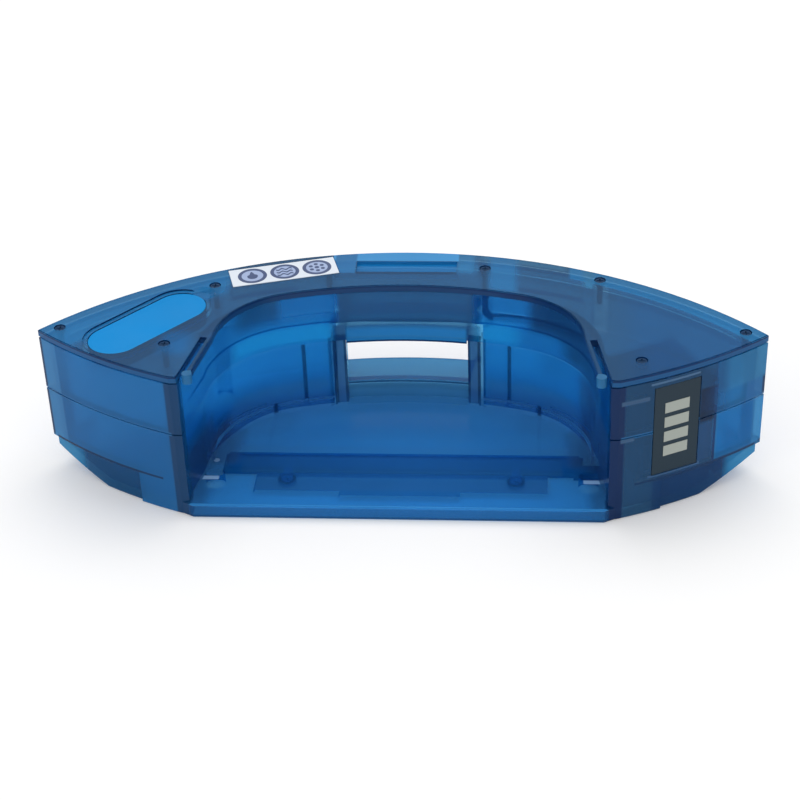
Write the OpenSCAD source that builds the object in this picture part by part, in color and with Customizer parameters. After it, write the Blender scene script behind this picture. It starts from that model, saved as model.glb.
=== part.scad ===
// Robot vacuum water tank: a crescent shaped translucent tank with a bay for the dust box.
// All sizes are in millimetres. The drawing frame has the centre of the round robot at x = 0, y = 0.
// The last lines move it so that the origin lies at the bottom centre of the tank.

/* [Overall] */
// Radius of the round robot, which is the rear arc of the tank
robot_r = 165; // [150:0.5:180]
// Width between the two outer corners
tank_w = 248; // [230:1:264]
// Height from the underside to the top of the cover
tank_h = 55.5; // [52:0.5:62]
// Depth from the rear arc to the two noses beside the bay
arm_depth = 85.5; // [80:0.5:91]
// Half distance between the outer corners of the noses
nose_half = 74; // [72:0.5:78]
// How far the front faces bow out between nose and outer corner
face_bow = 2.5; // [1:0.1:4]
// How far the floor lip stands in front of the noses
lip_out = 2; // [0.5:0.1:4]

/* [Shell] */
// Wall thickness of both bodies
wall_t = 2.4; // [1.8:0.1:3]
// Thickness of the tank bottom
floor_t = 2.4; // [1.8:0.1:3]
// Height of the bay floor, which is also the height of the lip
bay_floor_z = 5; // [4.4:0.1:7]
// Height of the joint between lower and upper body
split_z = 32.5; // [30:0.5:36]
// Thickness of the cover plate
cover_t = 2.5; // [2:0.1:3.5]
// Thickness of the seal under the cover plate
seal_t = 0.6; // [0.4:0.1:1]
// Width of the sloped underside at the rear
slope_w = 25; // [17:0.5:31]
// Height where the sloped underside meets the rear arc
slope_h = 8.6; // [6:0.1:10]
// Depth and height of the line between the bodies
seam = 0.5; // [0.3:0.05:0.8]

/* [Bay] */
// Depth from the rear arc to the bay wall
rear_depth = 22; // [19:0.5:25]
// Radius of the two back corners of the bay wall
bay_corner_r = 35; // [28:0.5:40]
// Half width of the bay wall where the corners start
bay_half = 67; // [64:0.5:68]
// Width of the end wall of each nose
nose_t = 2.7; // [2.5:0.1:4]
// How far the upper wall stands into the bay above the step
step_in = 1.2; // [0.6:0.1:1.6]
// Height of that step
step_z = 41; // [38:0.5:46]
// Height of the bead at the foot of the bay wall, above the bay floor
bead_h = 3.8; // [2:0.1:6]
// How far the bead stands out
bead_out = 0.9; // [0.5:0.1:1.5]
// How far the cover plate stands over the bay wall at the back
cover_over = 2; // [1.5:0.5:4]
// How far it stands over the bay wall at the sides
cover_side = 4; // [3:0.5:6]

/* [Window] */
// Width of the opening in the rear
window_w = 44; // [36:1:48]
// How much wider the opening is at the rear, on each side
window_flare = 2.6; // [1:0.2:3]
// Height of the ridge of the sill
sill_z = 12.2; // [11:0.1:14]
// Height of the sill behind the ridge
sill_rear_z = 10.6; // [10:0.1:12]
// How far the ridge stands behind the bay wall
sill_in = 4.2; // [2.6:0.1:6]
// How far the wall above the opening reaches below the joint
lintel_drop = 1.3; // [0.5:0.1:2]
// Width of the stepped frame on each side of the opening
frame_w = 4; // [3:0.1:5]
// Depth of the stepped frame
frame_d = 1.2; // [0.6:0.1:1.6]

/* [Filler] */
// Distance of the near end of the filler opening from the nose, along the front face
filler_s = 31.6; // [31:0.2:34]
// Distance of that end behind the front face
filler_t = 9.8; // [9.6:0.1:12]
// Angle of the long axis of the filler opening
filler_ang = 50; // [46:1:54]
// Length between the two end centres of the filler opening
filler_l = 29; // [26:0.5:30]
// Radius of the ends of the filler opening
filler_r = 9.4; // [8:0.1:9.6]
// Gap round the stopper
plug_gap = 0.3; // [0.2:0.05:0.5]
// How far the stopper lies below the cover
plug_sink = 0.8; // [0.3:0.1:1.2]
// How far the stopper reaches below the cover plate
plug_l = 4; // [3:0.5:5]

/* [Contacts] */
// Distance of the contact board from the nose, along the front face
board_s = 21.2; // [20:0.1:22]
// Width of the contact board
board_w = 17.2; // [15:0.1:18]
// Height of the contact board
board_h = 34.4; // [30:0.1:36]
// Height of the middle of the contact board
board_z = 32; // [30:0.1:33]
// Thickness of the contact board
board_t = 1.2; // [0.8:0.1:1.3]
// Width of a contact pad
pad_w = 9.2; // [6:0.1:11]
// Height of a contact pad
pad_h = 4; // [3:0.1:4.6]
// Distance between the contact pads
pad_pitch = 5.7; // [5.2:0.1:6.4]

/* [Cover details] */
// Length of the label
label_l = 38.2; // [30:0.1:40]
// Width of the label
label_w = 12; // [9:0.1:13]
// Width of the slot behind each snap arm
slot_w = 2.4; // [1.6:0.1:2.4]
// Width of each snap arm
arm_w = 1.4; // [1:0.1:1.8]
// Length of the shallow pocket at the rear
pocket_l = 36; // [28:1:40]
// Depth of that pocket
pocket_d = 1; // [0.5:0.1:1.4]
// Diameter of a screw head
head_d = 3.4; // [3:0.1:3.8]

/* [Hidden] */
$fn = 96;

nose_y = robot_r - arm_depth;
bay_r = robot_r - rear_depth;
slope_r = robot_r - slope_w;
mouth_half = nose_half - nose_t;
cover_bay_r = bay_r - cover_over;
cover_bay_half = bay_half - cover_side;
cover_mouth_half = mouth_half - cover_side + 0.2;
lip_y = nose_y - lip_out;
mid_y = (lip_y + robot_r) / 2;
corner_x = tank_w / 2;
corner_y = sqrt(robot_r * robot_r - corner_x * corner_x);
face_dx = corner_x - nose_half;
face_dy = corner_y - nose_y;
face_l = sqrt(face_dx * face_dx + face_dy * face_dy);
face_ang = atan2(face_dy, face_dx);
bow_r = (face_l * face_l / 4 + face_bow * face_bow) / (2 * face_bow);
slope_k = (robot_r - slope_r) / slope_h;
slope_lift = wall_t * sqrt(1 + slope_k * slope_k) / slope_k;
cover_z = tank_h - cover_t;
rim_z = cover_z - seal_t;
window_half = window_w / 2;
jamb_half = window_half + frame_w + 1.5;
passage_z = 36;
ridge_t = 2.6;
cover_corner_r = bay_corner_r - 4;
lid_z = rim_z - 8.9;
lid_t = 1.6;
clear = 0.3;
head_t = 1;
head_sink = 0.3;
head_gap = 0.35;
shank_d = 2;
post_r = 2.8;
post_l = 14;
hole_l = 9;
pad_t = 0.15;
tube_r = 2;
bore_r = 1.2;
port_r = 0.9;
rib_in = 6;
rib_w = 1.2;
rib_h = 2.6;
label_t = 0.2;
label_in = 8.6;
label_share = 0.393;
groove_y = nose_y + 28.5;
groove_w = 8;
groove_half = 62;
groove_top = 3.2;
strip_t = 1.2;
air_z = lid_z - 3.5;
chamber_t = 28;
rib_t = 2;
nozzle_x = 40;
nozzle_y = nose_y + 18.5;
bracket_half = 51;
bracket_d = 10.5;
upright_x = 37;
upright_out = 47.5;
chamber_back = 14;
slot_start = 5.5;
slot_l = 19.5;
grip_x = 51.5;
grip_w = 23;
rear_in = 4.25;
rear_ang = 25.3;
web_in = 9;
free_in = 9.5;
free_share = 0.566;
pocket_in = 14.5;
pocket_w = 7.5;
ease = 0.3;
rebate_s = 16.5;
rebate_z = 12.3;
rebate_d = 1;
suction_off = 5;
filter_r = 3.5;
filter_out = 2;
pump_t = 17;
pump_z = 8;
gear_l = 14;
gear_w = 13;
gear_h = 9;
motor_r = 6.4;
motor_h = 21;
port_z = 12;
port_l = 3;
feed_gap = 1.47;
pump_off = 10.4;
chamber_off = 15.5;
filler_post_off = 11.68;
filler_post_gap = 1.85;
neck_t = 1.6;
boss_top = 5.2;
feed_t = 22;
bend_r = 3;
filter_l = 7;

// A point s along the right front face and t behind it, measured from the nose
function along(s, t) = [s * cos(face_ang) - t * sin(face_ang), s * sin(face_ang) + t * cos(face_ang)];

// The feed tube stands beside the bay wall, the pump and the chamber wall follow it
feed_x = bay_half + wall_t + tube_r + feed_gap;
feed_s = (feed_x - nose_half + feed_t * sin(face_ang)) / cos(face_ang);
feed_y = nose_y + along(feed_s, feed_t)[1];
pump_s = feed_s + pump_off;
chamber_s = pump_s + chamber_off;

// Near end of the filler opening, and the post between its neck and the bay wall
filler_x = nose_half + along(filler_s, filler_t)[0];
filler_y = nose_y + along(filler_s, filler_t)[1];
filler_post_x = bay_half + filler_post_off;
filler_post_side = filler_r + neck_t + post_r + filler_post_gap;
filler_post_y = filler_y + (filler_x - filler_post_x) * tan(filler_ang) - filler_post_side / cos(filler_ang);

// The label and the screw beside it share the arc between the rear pocket and the filler neck
far_x = filler_x - filler_l * cos(filler_ang);
far_y = filler_y + filler_l * sin(filler_ang);
neck_ang = atan2(far_x, far_y) - asin((filler_r + neck_t) / sqrt(far_x * far_x + far_y * far_y));
pocket_ang = atan2(pocket_l / 2, robot_r - pocket_in + pocket_w / 2);
label_half_ang = asin(label_l / 2 / (robot_r - label_in));
label_mid_ang = pocket_ang + label_half_ang + label_share * (neck_ang - pocket_ang - 2 * label_half_ang);
label_end_ang = label_mid_ang + label_half_ang;
free_ang = label_end_ang + free_share * (neck_ang - label_end_ang);

// Screws whose posts are part of the upper body wall: two corners, one at the rear
corner_screws = [[corner_x - 7.4, corner_y + 1.55], [7.4 - corner_x, corner_y + 1.55],
  [(robot_r - rear_in) * sin(rear_ang), (robot_r - rear_in) * cos(rear_ang)]];
// Screws beside the window, whose posts stand on its frame
web_x = window_half + 6.1;
web_y = sqrt((robot_r - web_in) * (robot_r - web_in) - web_x * web_x);
web_screws = [[web_x, web_y], [-web_x, web_y]];
wall_screws = concat(corner_screws, web_screws);
// Screws whose posts stand on the tank bottom
free_screws = [[nose_half + along(12.8, 7.35)[0], nose_y + along(12.8, 7.35)[1]],
  [-filler_post_x, filler_post_y],
  [-(robot_r - free_in) * sin(free_ang), (robot_r - free_in) * cos(free_ang)]];
screws = concat(wall_screws, free_screws);

// Everything behind the right front face
module behind_face(inset) {
  union() {
    face_frame_2d() translate([face_l / 2, bow_r - face_bow]) circle(r = bow_r - inset, $fn = 180);
    translate([-tank_w, 0]) square([tank_w + nose_half - 10, 2 * robot_r]);
  }
}

module face_frame_2d() {
  translate([nose_half, nose_y]) rotate(face_ang) children();
}

// Local x runs along the right front face from the nose, local y runs into the tank
module face_frame() {
  translate([nose_half, nose_y, 0]) rotate([0, 0, face_ang]) children();
}

// Outline of the tank seen from above, moved inwards by inset
module plan(inset) {
  intersection() {
    circle(r = robot_r - inset, $fn = 240);
    behind_face(inset);
    mirror([1, 0]) behind_face(inset);
    translate([-tank_w, nose_y + inset]) square([2 * tank_w, robot_r]);
  }
}

// Opening of the bay seen from above
module bay(back, corner, half, mouth) {
  cx = half - corner;
  cy = sqrt((back - corner) * (back - corner) - cx * cx);
  flare = (mouth - half) / (cy - nose_y);
  front = nose_y - 10;
  wide = half + flare * (cy - front);
  union() {
    intersection() {
      circle(r = back, $fn = 240);
      polygon([[-cx, cy], [-1.4 * cx, 1.4 * cy], [1.4 * cx, 1.4 * cy], [cx, cy]]);
    }
    for (side = [-1, 1]) translate([side * cx, cy]) circle(r = corner);
    polygon([[-half, cy], [-wide, front], [wide, front], [half, cy]]);
  }
}

// The bay wall, grown outwards by grow
module wall_bay(grow) {
  bay(bay_r + grow, bay_corner_r + grow, bay_half + grow, mouth_half + grow);
}

// The bay opening in the cover plate, grown outwards by grow
module cover_bay(grow) {
  bay(cover_bay_r + grow, cover_corner_r + grow, cover_bay_half + grow, cover_mouth_half + grow);
}

// The bay wall above the step
module step_bay(grow) {
  bay(bay_r - step_in + grow, bay_corner_r - step_in / 2 + grow, bay_half - step_in / 2 + grow,
    mouth_half - 0.2 + grow);
}

// Outline at the height of the lip, moved inwards by inset
module lip_plan(inset) {
  out = nose_half + 1.5;
  front = lip_y + inset;
  union() {
    plan(inset);
    polygon([[-out, nose_y + 4], [-out, nose_y + 1 + inset], [4 - nose_half, front],
      [nose_half - 4, front], [out, nose_y + 1 + inset], [out, nose_y + 4]]);
  }
}

// The cone of the sloped underside, raised by lift
module slope(lift) {
  top = split_z + 1;
  cylinder(h = top, r1 = slope_r - slope_k * lift, r2 = slope_r + slope_k * (top - lift), $fn = 240);
}

// The same cone, reaching above the tank
module slope_up(lift) {
  cylinder(h = tank_h, r1 = slope_r - slope_k * lift, r2 = slope_r + slope_k * (tank_h - lift), $fn = 240);
}

// Walls of the dry chamber behind the contact board
module chamber_walls() {
  face_frame_2d() union() {
    translate([chamber_s, -face_bow - 1]) square([rib_t, chamber_t + rib_t + face_bow + 1]);
    translate([-chamber_back, chamber_t]) square([chamber_s + rib_t + chamber_back, rib_t]);
  }
}

// Frame with its origin at the middle of the contact board, local y into the tank
module board_frame() {
  s = board_s - face_l / 2;
  bow = face_bow - s * s / (2 * bow_r);
  face_frame() translate([board_s, -bow, board_z]) rotate([0, 0, asin(s / bow_r)]) children();
}

module board_boss(z0, z1) {
  intersection() {
    board_frame() translate([-board_w / 2 - 2, 0.8, -board_h / 2 - 2])
      cube([board_w + 4, 3, board_h + 4]);
    translate([0, 0, z0]) linear_extrude(height = z1 - z0) plan(1);
  }
}

module board_pocket() {
  board_frame() {
    translate([-board_w / 2 - clear, -3, -board_h / 2 - clear])
      cube([board_w + 2 * clear, 3 + board_t + 0.3, board_h + 2 * clear]);
    translate([-4.5 - clear, 0, -3 - clear]) cube([9 + 2 * clear, 6, 6 + 2 * clear]);
  }
}

// Short ribs that hold the nose wall beside the contact board
module nose_ribs(z) {
  face_frame() translate([0.6, -0.6, z]) cube([9.5, 3, 1.4]);
}

// Hollow of the lower body
module lower_cavity() {
  difference() {
    intersection() {
      translate([0, 0, floor_t]) linear_extrude(height = split_z) plan(wall_t);
      slope(slope_lift);
    }
    translate([0, 0, -1]) linear_extrude(height = split_z + 10) wall_bay(wall_t);
    translate([-jamb_half, bay_floor_z, 0]) cube([2 * jamb_half, robot_r, split_z + 10]);
    translate([0, 0, -1]) linear_extrude(height = split_z + 10) chamber_walls();
    board_boss(floor_t, split_z + 5);
    nose_ribs(30.6);
    feed_boss();
    for (p = free_screws) translate([p[0], p[1], 0]) cylinder(h = split_z + 10, r = post_r);
  }
}

module bead() {
  difference() {
    translate([0, 0, bay_floor_z - 0.5]) linear_extrude(height = bead_h + 0.5) difference() {
      wall_bay(0.5);
      wall_bay(-bead_out);
    }
    translate([-robot_r, 0, 0]) cube([2 * robot_r, nose_y + 24.5, split_z]);
    translate([-jamb_half, 0, 0]) cube([2 * jamb_half, robot_r, split_z]);
    for (x = [upright_x, upright_out], side = [-1, 1])
      translate([side * x - 1, 100, 0]) cube([2, robot_r, split_z]);
  }
}

// Plan of the passage behind the window, wider at the rear
module passage_plan() {
  rear_half = window_half + window_flare;
  polygon([[-window_half, bay_r - 12], [-window_half, bay_r], [-rear_half, robot_r + 5],
    [rear_half, robot_r + 5], [window_half, bay_r], [window_half, bay_r - 12]]);
}

// Window and sill: the way above the ridge, the lower part behind it and the recess in front of it
module window() {
  ridge_r = bay_r + sill_in;
  translate([0, 0, sill_z]) linear_extrude(height = split_z) passage_plan();
  translate([0, 0, sill_rear_z]) linear_extrude(height = split_z) difference() {
    passage_plan();
    circle(r = ridge_r + ridge_t, $fn = 240);
  }
  translate([0, 0, bay_floor_z]) linear_extrude(height = split_z) intersection() {
    circle(r = ridge_r, $fn = 240);
    translate([-window_half, bay_r - 14]) square([window_w, 30]);
  }
  // frame round the opening
  translate([0, 0, bay_floor_z]) linear_extrude(height = split_z) intersection() {
    wall_bay(frame_d);
    translate([-window_half - frame_w, bay_r - 14]) square([window_w + 2 * frame_w, 30]);
  }
}

module lower_body() {
  color([0.1, 0.34, 0.62]) difference() {
    union() {
      difference() {
        intersection() {
          union() {
            linear_extrude(height = split_z) plan(0);
            linear_extrude(height = bay_floor_z - ease) lip_plan(0);
            linear_extrude(height = bay_floor_z) lip_plan(ease);
          }
          slope(0);
        }
        translate([0, 0, bay_floor_z]) linear_extrude(height = split_z) wall_bay(0);
        lower_cavity();
      }
      bead();
      intersection() {
        for (p = free_screws) translate([p[0], p[1], 1]) cylinder(h = rim_z - 1, r = post_r);
        slope_up(1);
      }
    }
    for (p = free_screws) translate([p[0], p[1], rim_z - hole_l]) cylinder(h = hole_l + 3, d = shank_d + 2 * clear);
    window();
    // thin upright lines beside the window
    for (side = [-1, 1]) translate([0, 0, bay_floor_z + bead_h]) linear_extrude(height = split_z)
      intersection() {
        wall_bay(0.5);
        translate([side * upright_x - 0.5, nose_y + 30]) square([1, robot_r]);
      }
    // line under the joint
    translate([0, 0, split_z - seam]) linear_extrude(height = 2) difference() {
      plan(-2);
      plan(seam);
    }
    translate([0, 0, split_z - seam]) linear_extrude(height = 2) wall_bay(seam);
    // shallow rebate at the foot of each front face
    for (side = [0, 1]) mirror([side, 0, 0]) foot_rebate();
    board_pocket();
    underside();
    feed_bore();
    suction_bore();
  }
}

module foot_rebate() {
  translate([0, 0, -1]) linear_extrude(height = rebate_z + 1) difference() {
    face_frame_2d() translate([rebate_s, -10]) square([tank_w, 14]);
    plan(rebate_d);
  }
}

// Hollows under the bay floor
module underside() {
  // pocket of the pad bracket
  translate([-bracket_half, nozzle_y - 7, -1]) cube([2 * bracket_half, bracket_d, 2.8]);
  translate([-21, nozzle_y - 9.4, -1]) cube([42, 5, 2.8]);
  // water groove and the step of its strip
  translate([0, 0, -1]) linear_extrude(height = 1 + groove_top) duct_plan(0);
  translate([0, 0, -1]) linear_extrude(height = 1.2 + strip_t) duct_plan(1.5);
  // branches from the groove to the two nozzles
  for (side = [-1, 1]) {
    translate([side * nozzle_x - 1.5, nozzle_y, 2.2]) cube([3, groove_y - nozzle_y, 1]);
    translate([side * nozzle_x, nozzle_y, 0]) cylinder(h = 3.2, r = 2.2);
  }
  // holes under the snap arms
  for (side = [-1, 1]) translate([side * (cover_mouth_half - 2.4), nose_y + 17.5, -1]) {
    for (x = [-1.3, 1.3]) translate([x, 0, 0]) cylinder(h = 20, r = 2.2);
    translate([-1.3, -2.2, 0]) cube([2.6, 4.4, 20]);
  }
}

// Outline of the water groove, with its arm to the feed tube
module duct_plan(grow) {
  union() {
    translate([-groove_half - grow, groove_y - groove_w / 2 - grow])
      square([2 * (groove_half + grow), groove_w + 2 * grow]);
    translate([groove_half - 2, feed_y - 1.8 - grow])
      square([feed_x - groove_half + 3.8 + grow, 3.6 + 2 * grow]);
  }
}

// Raised floor round the end of that arm
module feed_boss() {
  translate([feed_x - 8.8, feed_y - 3.2, 1]) cube([12, 6.4, boss_top - 1]);
}

// Where the feed tube lets water into the groove
module feed_bore() {
  face_frame() translate([feed_s, feed_t, 2]) cylinder(h = 5, r = bore_r, $fn = 36);
}

module suction_bore() {
  face_frame() translate([pump_s + suction_off, chamber_t - 1, port_z]) rotate([-90, 0, 0])
    cylinder(h = rib_t + 2, r = tube_r + clear);
}

// Path of the air tube along the bay wall, for a section of outer radius r and bore b
module air_path(r, b, sweep) {
  ax = bay_half - bay_corner_r - 0.5;
  ar = bay_corner_r + wall_t + 4.1;
  reach = bay_r + wall_t + 2.6;
  ay = sqrt(reach * reach - ax * ax) - ar;
  translate([ax, ay, air_z]) rotate([0, 0, 90]) {
    rotate_extrude(angle = -sweep) translate([ar, 0]) ring(r, b);
    translate([ar, 0, 3]) rotate([0, 90, 0]) rotate_extrude(angle = 90) translate([3, 0]) ring(r, b);
    translate([ar, 3, 3]) linear_extrude(height = 7) ring(r, b);
  }
}

module upper_body() {
  color([0.16, 0.42, 0.7]) lintels();
  color([0.16, 0.42, 0.7]) difference() {
    translate([0, 0, split_z]) linear_extrude(height = rim_z - split_z) plan(0);
    translate([0, 0, split_z - 1]) linear_extrude(height = step_z - split_z + 1) wall_bay(0);
    translate([0, 0, step_z - 0.5]) linear_extrude(height = 30) step_bay(0);
    upper_cavity();
    // passage between the two walls above the window
    translate([0, 0, split_z - 1]) linear_extrude(height = passage_z - split_z + 1) intersection() {
      passage_plan();
      plan(wall_t);
      difference() {
        circle(r = robot_r, $fn = 240);
        circle(r = bay_r + wall_t, $fn = 240);
      }
    }
    board_pocket();
    for (p = wall_screws) translate([p[0], p[1], rim_z - hole_l]) cylinder(h = hole_l + 3, d = shank_d + 2 * clear);
    air_path(1.5 + clear, 0, 86);
  }
}

// Lower edges of the two walls above the window, which reach between its jambs
module lintels() {
  translate([0, 0, split_z - lintel_drop]) linear_extrude(height = lintel_drop + 1) intersection() {
    translate([clear - window_half, 0]) square([window_w - 2 * clear, robot_r]);
    difference() {
      circle(r = robot_r, $fn = 240);
      circle(r = bay_r, $fn = 240);
    }
    difference() {
      circle(r = robot_r + 1, $fn = 240);
      difference() {
        circle(r = robot_r - wall_t, $fn = 240);
        circle(r = bay_r + wall_t, $fn = 240);
      }
    }
  }
}

module upper_cavity() {
  difference() {
    translate([0, 0, split_z - 1]) linear_extrude(height = 40) difference() {
      plan(wall_t);
      wall_bay(wall_t);
    }
    translate([-jamb_half, nose_y + 20, split_z - 2])
      cube([2 * jamb_half, robot_r, passage_z + wall_t - split_z + 2]);
    translate([0, 0, split_z - 2]) linear_extrude(height = lid_z - split_z + 2) chamber_walls();
    board_boss(split_z - 2, rim_z - 0.6);
    for (side = [-1, 1]) intersection() {
      translate([side * grip_x - grip_w / 2, robot_r - 30, rim_z - 7]) cube([grip_w, 30, 12]);
      difference() {
        cylinder(h = 60, r = robot_r - 1);
        translate([0, 0, -1]) cylinder(h = 62, r = robot_r - wall_t - 3);
      }
    }
    nose_ribs(45.4);
    for (p = web_screws) translate([p[0], p[1], split_z - 2]) cylinder(h = 40, r = post_r);
    for (p = corner_screws) translate([p[0], p[1], rim_z - post_l]) cylinder(h = 40, r = post_r);
  }
}

module stadium(length, r) {
  union() {
    for (side = [-1, 1]) translate([side * length / 2, 0]) circle(r = r);
    translate([-length / 2, -r]) square([length, 2 * r]);
  }
}

// Frame of the filler opening, with its origin at the middle of it
module filler_frame() {
  translate([-filler_x, filler_y, 0]) rotate([0, 0, filler_ang])
    translate([filler_l / 2, 0, 0]) children();
}

// Line of the cover plate edge beside the right snap arm, local y runs towards the rear
module arm_frame() {
  cx = cover_bay_half - cover_corner_r;
  cy = sqrt((cover_bay_r - cover_corner_r) * (cover_bay_r - cover_corner_r) - cx * cx);
  tilt = atan2(cover_mouth_half - cover_bay_half, cy - nose_y);
  translate([cover_mouth_half, nose_y, 0]) rotate([0, 0, tilt]) children();
}

module snap_slot() {
  arm_frame() union() {
    translate([arm_w, slot_start, cover_z - 9]) cube([slot_w, slot_l, 20]);
    translate([-4, -4, cover_z - 9]) cube([4 + arm_w + slot_w, slot_start + 4.1, 20]);
  }
}

module snap_arm() {
  arm_frame() union() {
    translate([0, 1.6, cover_z]) cube([arm_w, 5, cover_t]);
    translate([0.9, 2.2, cover_z - 1]) cylinder(h = cover_t + 1, r = 1.7);
  }
}

// Rib under the cover plate that holds it level on the rear arc, open at each post
module cover_rib() {
  translate([0, 0, cover_z - rib_h]) linear_extrude(height = rib_h + 0.5) difference() {
    intersection() {
      circle(r = robot_r - rib_in, $fn = 240);
      plan(wall_t + 2);
    }
    circle(r = robot_r - rib_in - rib_w, $fn = 240);
    for (p = screws) translate([p[0], p[1]]) circle(r = post_r + clear);
  }
}

module cover_plate() {
  color([0.18, 0.42, 0.66]) difference() {
    union() {
      translate([0, 0, cover_z]) linear_extrude(height = cover_t - ease) difference() {
        plan(0);
        cover_bay(0);
      }
      translate([0, 0, cover_z]) linear_extrude(height = cover_t) difference() {
        plan(ease);
        cover_bay(ease);
      }
      cover_rib();
      // neck under the filler opening
      intersection() {
        filler_frame() translate([0, 0, cover_z - 6]) linear_extrude(height = 7)
          stadium(filler_l, filler_r + neck_t);
        translate([0, 0, cover_z - 7]) linear_extrude(height = 9) difference() {
          plan(wall_t + clear);
          wall_bay(wall_t + clear);
        }
      }
    }
    for (side = [0, 1]) mirror([side, 0, 0]) snap_slot();
    filler_frame() translate([0, 0, cover_z - plug_l]) linear_extrude(height = 20)
      stadium(filler_l, filler_r);
    // shoulder that the stopper stands on
    filler_frame() translate([0, 0, cover_z - 9]) linear_extrude(height = 20)
      stadium(filler_l, filler_r - neck_t);
    filler_frame() translate([0, 0, tank_h - 0.6]) linear_extrude(height = 2)
      stadium(filler_l, filler_r + neck_t);
    // finger scoop at the end of the stopper
    filler_frame() translate([filler_l / 2 + filler_r + 1, 0, tank_h - 1.2])
      cylinder(h = 3, r1 = 3, r2 = 7.5);
    for (p = screws) translate([p[0], p[1], 0]) {
      translate([0, 0, tank_h - head_t - head_sink]) cylinder(h = 5, d = head_d + 2 * head_gap);
      translate([0, 0, cover_z - 5]) cylinder(h = 10, d = shank_d + 2 * clear);
    }
    translate([-pocket_l / 2, robot_r - pocket_in, tank_h - pocket_d]) cube([pocket_l, pocket_w, 5]);
    label_frame() translate([-label_w / 2 - clear, -label_l / 2 - clear, tank_h - label_t])
      cube([label_w + 2 * clear, label_l + 2 * clear, 3]);
  }
  color([0.18, 0.42, 0.66]) for (side = [0, 1]) mirror([side, 0, 0]) snap_arm();
}

module cover_seal() {
  color([0.12, 0.5, 0.78]) translate([0, 0, rim_z]) linear_extrude(height = seal_t) difference() {
    difference() {
      plan(0.5);
      step_bay(0.5);
    }
    difference() {
      plan(2);
      step_bay(2);
    }
  }
}

module filler_plug() {
  color([0.14, 0.55, 0.84]) difference() {
    filler_frame() translate([0, 0, cover_z - plug_l]) linear_extrude(height = cover_t + plug_l - plug_sink)
      stadium(filler_l, filler_r - plug_gap);
    filler_frame() translate([0, 0, cover_z - 5]) linear_extrude(height = 5)
      stadium(filler_l, filler_r - plug_gap - 2);
  }
}

module contact_board() {
  color([0.06, 0.07, 0.08]) board_frame() translate([-board_w / 2, 0.3, -board_h / 2])
    cube([board_w, board_t, board_h]);
}

module contact_pads() {
  color([0.75, 0.76, 0.72]) board_frame() for (i = [-1.5, -0.5, 0.5, 1.5])
    translate([-pad_w / 2, 0.3 - pad_t, i * pad_pitch - pad_h / 2]) cube([pad_w, pad_t, pad_h]);
}

module board_plug() {
  color([0.85, 0.84, 0.78]) board_frame() translate([-4.5, 0.3 + board_t, -3]) cube([9, 5, 6]);
}

module pump_leads() {
  color([0.6, 0.1, 0.1]) board_frame() for (x = [-1.6, 1.6])
    translate([x, 5.3 + board_t, 0]) rotate([-90, 0, 0]) cylinder(h = 6.2, r = 0.6, $fn = 24);
}

// Local x runs outwards through the middle of the label
module label_frame() {
  rotate([0, 0, 90 + label_mid_ang]) translate([robot_r - label_in, 0, 0]) children();
}

module label_sheet() {
  color([0.93, 0.94, 0.96]) label_frame() translate([-label_w / 2, -label_l / 2, tank_h - label_t])
    cube([label_w, label_l, label_t]);
}

module cover_screws() {
  color([0.15, 0.17, 0.2]) for (p = screws) translate([p[0], p[1], 0]) {
    difference() {
      translate([0, 0, tank_h - head_t - head_sink]) cylinder(h = head_t, d = head_d);
      translate([-0.25, -head_d / 2 + 0.5, tank_h - head_sink - 0.5]) cube([0.5, head_d - 1, 2]);
      translate([-head_d / 2 + 0.5, -0.25, tank_h - head_sink - 0.5]) cube([head_d - 1, 0.5, 2]);
    }
    translate([0, 0, tank_h - head_t - head_sink - 8]) cylinder(h = 8, d = shank_d);
  }
}

module chamber_lid() {
  color([0.1, 0.25, 0.45]) translate([0, 0, lid_z]) linear_extrude(height = lid_t) difference() {
    intersection() {
      plan(wall_t + clear);
      face_frame_2d() translate([-chamber_back, -5])
        square([chamber_s + rib_t + chamber_back, chamber_t + rib_t + 5]);
    }
    wall_bay(wall_t + clear);
    board_frame_2d() translate([-board_w / 2 - 2.4, -5]) square([board_w + 4.8, 9.2]);
    for (p = free_screws) translate([p[0], p[1]]) circle(r = post_r + clear);
  }
}

module board_frame_2d() {
  s = board_s - face_l / 2;
  bow = face_bow - s * s / (2 * bow_r);
  face_frame_2d() translate([board_s, -bow]) rotate(asin(s / bow_r)) children();
}

module pump() {
  color([0.08, 0.09, 0.11]) face_frame() translate([pump_s, pump_t, 0]) union() {
    translate([-gear_l / 2, -gear_w / 2, pump_z]) cube([gear_l, gear_w, gear_h]);
    translate([0, 0, pump_z + gear_h - 1]) cylinder(h = motor_h + 1, r = motor_r);
    translate([suction_off, gear_w / 2 - 0.5, port_z]) rotate([-90, 0, 0])
      cylinder(h = port_l + 0.5, r = port_r, $fn = 24);
    translate([0.5 - gear_l / 2, feed_t - pump_t, port_z]) rotate([0, -90, 0])
      cylinder(h = 1.3, r = port_r, $fn = 24);
  }
}

module pump_pad() {
  pad_front = 11.5;
  color([0.2, 0.2, 0.22]) intersection() {
    face_frame() translate([pump_s - 4.8, pad_front, floor_t]) cube([10.8, 11, pump_z - floor_t]);
    slope(slope_lift + 0.2);
  }
}

// Section of a tube, solid where b is 0
module ring(r, b) {
  difference() {
    circle(r = r, $fn = 36);
    if (b > 0) circle(r = b, $fn = 36);
  }
}

// A length of tube along local z
module tube(length) {
  linear_extrude(height = length) ring(tube_r, bore_r);
}

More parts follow.
